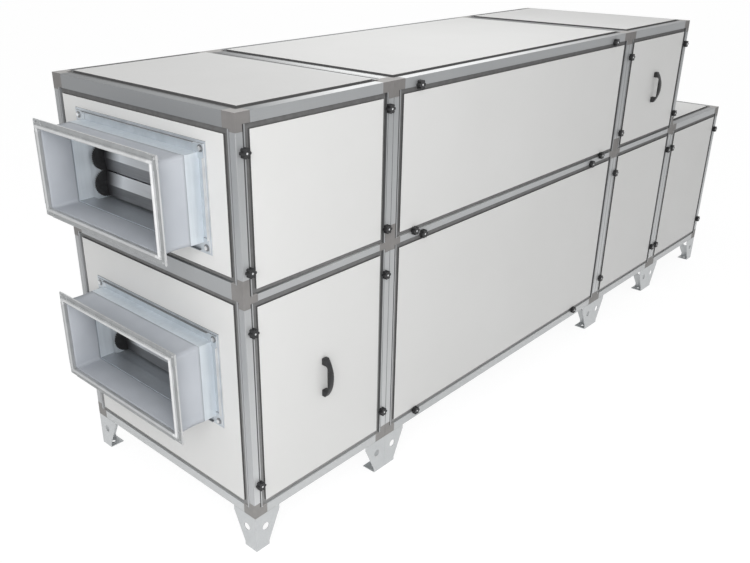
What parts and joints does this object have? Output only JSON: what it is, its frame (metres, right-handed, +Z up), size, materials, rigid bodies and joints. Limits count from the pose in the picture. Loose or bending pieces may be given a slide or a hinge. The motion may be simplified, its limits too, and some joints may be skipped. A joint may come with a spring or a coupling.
{
  "type": "air handling unit",
  "caption": "Modular two-deck air handling unit: aluminium frame, clamped white panels, sheet feet, and flanged duct connectors with geared louvre dampers.",
  "frame": {"origin": "on the floor under the middle of the whole unit's box", "axes": "+X along the unit, from the dampers at the inlet end to the outlet end; +Y from the service side with the knobs to the back; +Z up"},
  "size_m": [4.2354, 1.0398, 1.58],
  "materials": {
    "panel_white": "smooth white coating, low gloss",
    "profile": "satin anodised",
    "corner_plastic": "moulded, matt",
    "seal": "matt",
    "black_plastic": "moulded, satin",
    "gear_black": "moulded, matt",
    "zinc_sheet": "galvanised",
    "duct_zinc": "galvanised",
    "sleeve": "coated cloth",
    "blade": "mill finish"
  },
  "bodies": {
    "housing": {"frame_a": "profile", "frame_b": "profile", "frame_c": "profile", "frame_d": "profile", "corner_pieces": "corner_plastic", "front_panel_lower_a": "panel_white", "front_panel_lower_b": "panel_white", "front_panel_lower_c": "panel_white", "front_panel_lower_d": "panel_white", "front_panel_upper_a": "panel_white", "front_panel_upper_b": "panel_white", "front_panel_upper_c": "panel_white", "back_panels": "panel_white", "roof_panels": "panel_white", "base_panels": "zinc_sheet", "left_end_panel_lower": "panel_white", "left_end_panel_upper": "panel_white", "right_end_panel_lower": "panel_white", "right_end_panel_upper": "panel_white", "front_seals": "seal", "back_seals": "seal", "roof_seals": "seal", "end_seals": "seal", "knobs_lower": "black_plastic", "knobs_upper": "black_plastic", "handles": "black_plastic", "feet_front": "zinc_sheet", "feet_back": "zinc_sheet", "lower_base_flange": "duct_zinc", "lower_damper_casing": "duct_zinc", "lower_sleeve": "sleeve", "lower_duct_flange": "duct_zinc", "upper_base_flange": "duct_zinc", "upper_damper_casing": "duct_zinc", "upper_sleeve": "sleeve", "upper_duct_flange": "duct_zinc", "right_flanges": "duct_zinc", "right_stubs": "duct_zinc", "right_sleeves": "sleeve"},
    "lower_louvre_1": {"lower_blade_1": "blade", "lower_gear_1": "gear_black"},
    "lower_louvre_2": {"lower_blade_2": "blade", "lower_gear_2": "gear_black"},
    "lower_louvre_3": {"lower_blade_3": "blade", "lower_gear_3": "gear_black"},
    "upper_louvre_1": {"upper_blade_1": "blade", "upper_gear_1": "gear_black"},
    "upper_louvre_2": {"upper_blade_2": "blade", "upper_gear_2": "gear_black"},
    "upper_louvre_3": {"upper_blade_3": "blade", "upper_gear_3": "gear_black"}
  },
  "joints": [
    {"name": "lower_louvre_1_turn", "type": "hinge", "parent": "housing", "child": "lower_louvre_1", "pos_m": [-1.87575, 0.02, 0.549], "axis": [0, 1, 0], "range_deg": [-90, 0]},
    {"name": "lower_louvre_2_turn", "type": "hinge", "parent": "housing", "child": "lower_louvre_2", "pos_m": [-1.87575, 0.02, 0.647], "axis": [0, 1, 0], "range_deg": [0, 90]},
    {"name": "lower_louvre_3_turn", "type": "hinge", "parent": "housing", "child": "lower_louvre_3", "pos_m": [-1.87575, 0.02, 0.745], "axis": [0, 1, 0], "range_deg": [-90, 0]},
    {"name": "upper_louvre_1_turn", "type": "hinge", "parent": "housing", "child": "upper_louvre_1", "pos_m": [-1.87575, 0.02, 1.1905], "axis": [0, 1, 0], "range_deg": [-90, 0]},
    {"name": "upper_louvre_2_turn", "type": "hinge", "parent": "housing", "child": "upper_louvre_2", "pos_m": [-1.87575, 0.02, 1.2885], "axis": [0, 1, 0], "range_deg": [0, 90]},
    {"name": "upper_louvre_3_turn", "type": "hinge", "parent": "housing", "child": "upper_louvre_3", "pos_m": [-1.87575, 0.02, 1.3865], "axis": [0, 1, 0], "range_deg": [-90, 0]}
  ],
  "couplings": [
    {"joint": "lower_louvre_1_turn", "follows": "lower_louvre_2_turn", "ratio": -1},
    {"joint": "lower_louvre_3_turn", "follows": "lower_louvre_2_turn", "ratio": -1},
    {"joint": "upper_louvre_1_turn", "follows": "upper_louvre_2_turn", "ratio": -1},
    {"joint": "upper_louvre_3_turn", "follows": "upper_louvre_2_turn", "ratio": -1}
  ]
}
